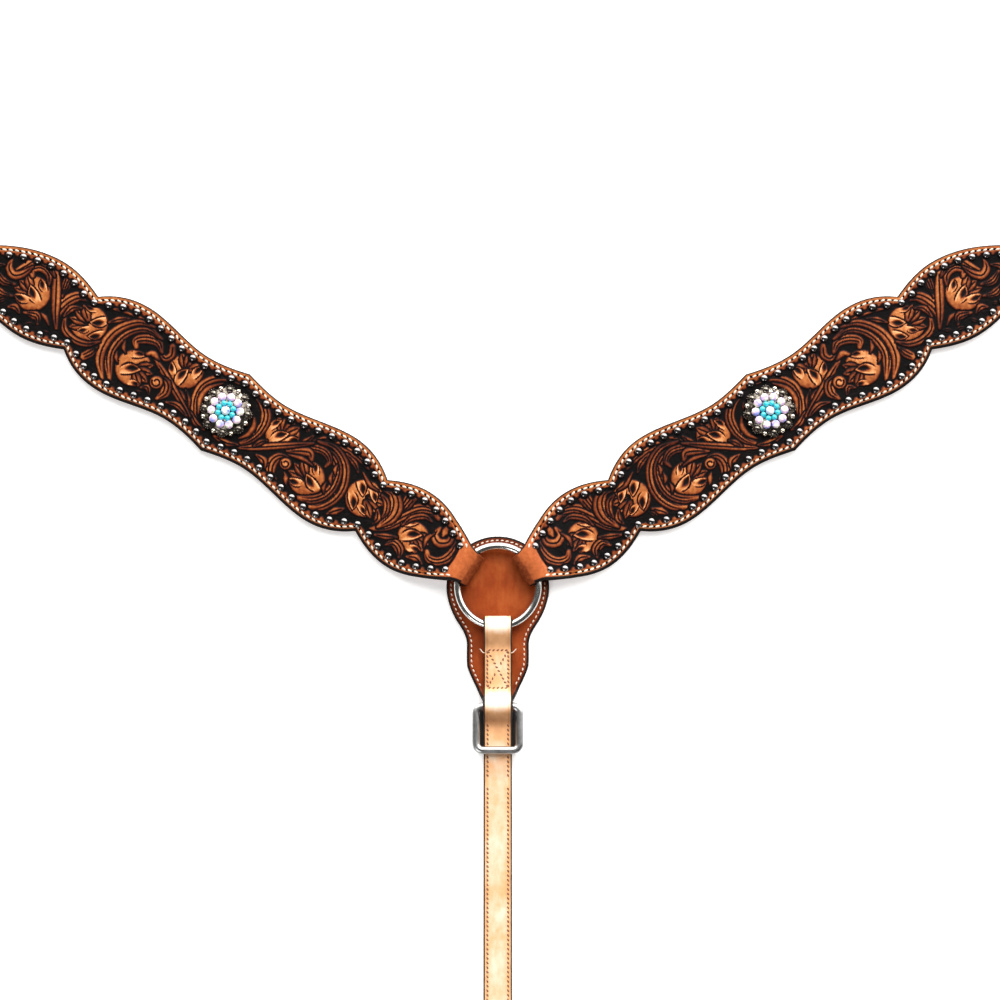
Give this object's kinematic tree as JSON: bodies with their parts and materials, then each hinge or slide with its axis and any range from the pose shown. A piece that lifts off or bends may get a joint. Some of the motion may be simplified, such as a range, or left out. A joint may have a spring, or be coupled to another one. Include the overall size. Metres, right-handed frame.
{
  "type": "horse breast collar",
  "caption": "Western breast collar: two tooled, lined leather shoulders and a centre tie strap on a steel ring, with buckled tugs and a swivel snap, laid flat.",
  "frame": {"origin": "under the middle of the centre ring, on the surface that the collar lies on", "axes": "+Z out of the tooled face, +Y to the top of the collar, +X along its width"},
  "size_m": [1.1016, 0.7576, 0.0148],
  "materials": {
    "tooled_leather": "hand tooled, antiqued and polished",
    "tan_leather": "smooth vegetable-tanned, hand rubbed",
    "lining_leather": "matt lining leather",
    "safe_leather": "smooth, oiled",
    "dark_leather": "black dyed",
    "strap_leather": "pale natural strap leather",
    "cream_thread": "waxed thread",
    "steel": "stainless, polished",
    "snap_metal": "nickel plated, satin",
    "spot_metal": "dark nickel, polished",
    "antique_silver": "antiqued silver plate",
    "crystal": "clear cut glass",
    "turquoise": "polished turquoise"
  },
  "bodies": {
    "centre_ring": {"centre_ring": "steel"},
    "hanger": {"ring_safe": "safe_leather", "safe_lining": "lining_leather", "safe_thread": "cream_thread", "loop_backing": "dark_leather", "hanger_strap": "strap_leather", "hanger_lining": "strap_leather", "hanger_thread": "cream_thread"},
    "safe_loop": {"safe_loop": "steel"},
    "tie": {"tie_flex_leather": "strap_leather", "tie_strap": "strap_leather", "tie_lining": "strap_leather", "tie_thread": "cream_thread"},
    "snap_eye": {"snap_eye": "snap_metal"},
    "snap": {"snap_body": "snap_metal", "snap_spring": "steel"},
    "snap_bolt": {"snap_bolt": "snap_metal"},
    "left_tab": {"left_ring_tab": "tan_leather", "left_tab_spots": "spot_metal"},
    "left_shoulder": {"left_flex_leather": "tooled_leather", "left_shoulder_face": "tooled_leather", "left_shoulder_lining": "lining_leather", "left_seam_thread": "cream_thread", "left_spots": "spot_metal", "left_concho": "antique_silver", "left_concho_crystals": "crystal", "left_concho_turquoise": "turquoise", "left_concho_centre_stone": "crystal", "left_concho_screw": "steel", "left_end_tab": "tan_leather"},
    "left_end_ring": {"left_end_ring": "steel"},
    "left_tug": {"left_tug_strap": "tan_leather", "left_tug_chape": "tan_leather", "left_tug_keeper": "tan_leather"},
    "left_tug_buckle": {"left_tug_buckle": "steel"},
    "left_tug_tongue": {"left_tug_tongue": "steel"},
    "right_tab": {"right_ring_tab": "tan_leather", "right_tab_spots": "spot_metal"},
    "right_shoulder": {"right_flex_leather": "tooled_leather", "right_shoulder_face": "tooled_leather", "right_shoulder_lining": "lining_leather", "right_seam_thread": "cream_thread", "right_spots": "spot_metal", "right_concho": "antique_silver", "right_concho_crystals": "crystal", "right_concho_turquoise": "turquoise", "right_concho_centre_stone": "crystal", "right_concho_screw": "steel", "right_end_tab": "tan_leather"},
    "right_end_ring": {"right_end_ring": "steel"},
    "right_tug": {"right_tug_strap": "tan_leather", "right_tug_chape": "tan_leather", "right_tug_keeper": "tan_leather"},
    "right_tug_buckle": {"right_tug_buckle": "steel"},
    "right_tug_tongue": {"right_tug_tongue": "steel"}
  },
  "joints": [
    {"name": "hanger_swing", "type": "hinge", "parent": "centre_ring", "child": "hanger", "pos_m": [0, 0, 0.00945], "axis": [0, 0, 1], "range_deg": [-15, 15]},
    {"name": "safe_loop_tilt", "type": "hinge", "parent": "hanger", "child": "safe_loop", "pos_m": [0, -0.083, 0.0079], "axis": [-1, 0, 0], "range_deg": [0, 12]},
    {"name": "tie_flex", "type": "hinge", "parent": "hanger", "child": "tie", "pos_m": [0, -0.1345, 0.0019], "axis": [-1, 0, 0], "range_deg": [-60, 60], "deforming": ["tie_flex_leather"]},
    {"name": "snap_eye_swing", "type": "hinge", "parent": "tie", "child": "snap_eye", "pos_m": [0, -0.334, 0.0052], "axis": [-1, 0, 0], "range_deg": [-60, 60]},
    {"name": "snap_swivel", "type": "hinge", "parent": "snap_eye", "child": "snap", "pos_m": [0, -0.35, 0.0052], "axis": [0, -1, 0], "continuous": true},
    {"name": "snap_bolt_slide", "type": "slide", "parent": "snap", "child": "snap_bolt", "axis": [0, 1, 0], "range_m": [0, 0.009], "stiffness_N_per_m": 250, "springref_m": -0.004, "deforming": ["snap_spring"]},
    {"name": "left_tab_swing", "type": "hinge", "parent": "centre_ring", "child": "left_tab", "pos_m": [0, 0, 0.00945], "axis": [0, 0, -1], "range_deg": [-20, 20]},
    {"name": "left_shoulder_flex", "type": "hinge", "parent": "left_tab", "child": "left_shoulder", "pos_m": [-0.0424, 0.0265, 0.00635], "axis": [0.5299, 0.848, 0], "range_deg": [-45, 45], "deforming": ["left_flex_leather"]},
    {"name": "left_end_ring_flip", "type": "hinge", "parent": "left_shoulder", "child": "left_end_ring", "pos_m": [-0.37854, 0.23774, 0.0051], "axis": [0.5299, 0.848, 0], "range_deg": [-10, 60]},
    {"name": "left_tug_hinge", "type": "hinge", "parent": "left_end_ring", "child": "left_tug", "pos_m": [-0.39211, 0.24621, 0.0051], "axis": [0.5299, 0.848, 0], "range_deg": [-45, 45]},
    {"name": "left_buckle_pivot", "type": "hinge", "parent": "left_tug", "child": "left_tug_buckle", "pos_m": [-0.43366, 0.27218, 0.0076], "axis": [0.5299, 0.848, 0], "range_deg": [0, 40]},
    {"name": "left_tongue_pivot", "type": "hinge", "parent": "left_tug_buckle", "child": "left_tug_tongue", "pos_m": [-0.43366, 0.27218, 0.0076], "axis": [0.5299, 0.848, 0], "range_deg": [0, 80]},
    {"name": "right_tab_swing", "type": "hinge", "parent": "centre_ring", "child": "right_tab", "pos_m": [0, 0, 0.00945], "axis": [0, 0, 1], "range_deg": [-20, 20]},
    {"name": "right_shoulder_flex", "type": "hinge", "parent": "right_tab", "child": "right_shoulder", "pos_m": [0.0424, 0.0265, 0.00635], "axis": [0.5299, -0.848, 0], "range_deg": [-45, 45], "deforming": ["right_flex_leather"]},
    {"name": "right_end_ring_flip", "type": "hinge", "parent": "right_shoulder", "child": "right_end_ring", "pos_m": [0.37854, 0.23774, 0.0051], "axis": [0.5299, -0.848, 0], "range_deg": [-10, 60]},
    {"name": "right_tug_hinge", "type": "hinge", "parent": "right_end_ring", "child": "right_tug", "pos_m": [0.39211, 0.24621, 0.0051], "axis": [0.5299, -0.848, 0], "range_deg": [-45, 45]},
    {"name": "right_buckle_pivot", "type": "hinge", "parent": "right_tug", "child": "right_tug_buckle", "pos_m": [0.43366, 0.27218, 0.0076], "axis": [0.5299, -0.848, 0], "range_deg": [0, 40]},
    {"name": "right_tongue_pivot", "type": "hinge", "parent": "right_tug_buckle", "child": "right_tug_tongue", "pos_m": [0.43366, 0.27218, 0.0076], "axis": [0.5299, -0.848, 0], "range_deg": [0, 80]}
  ]
}
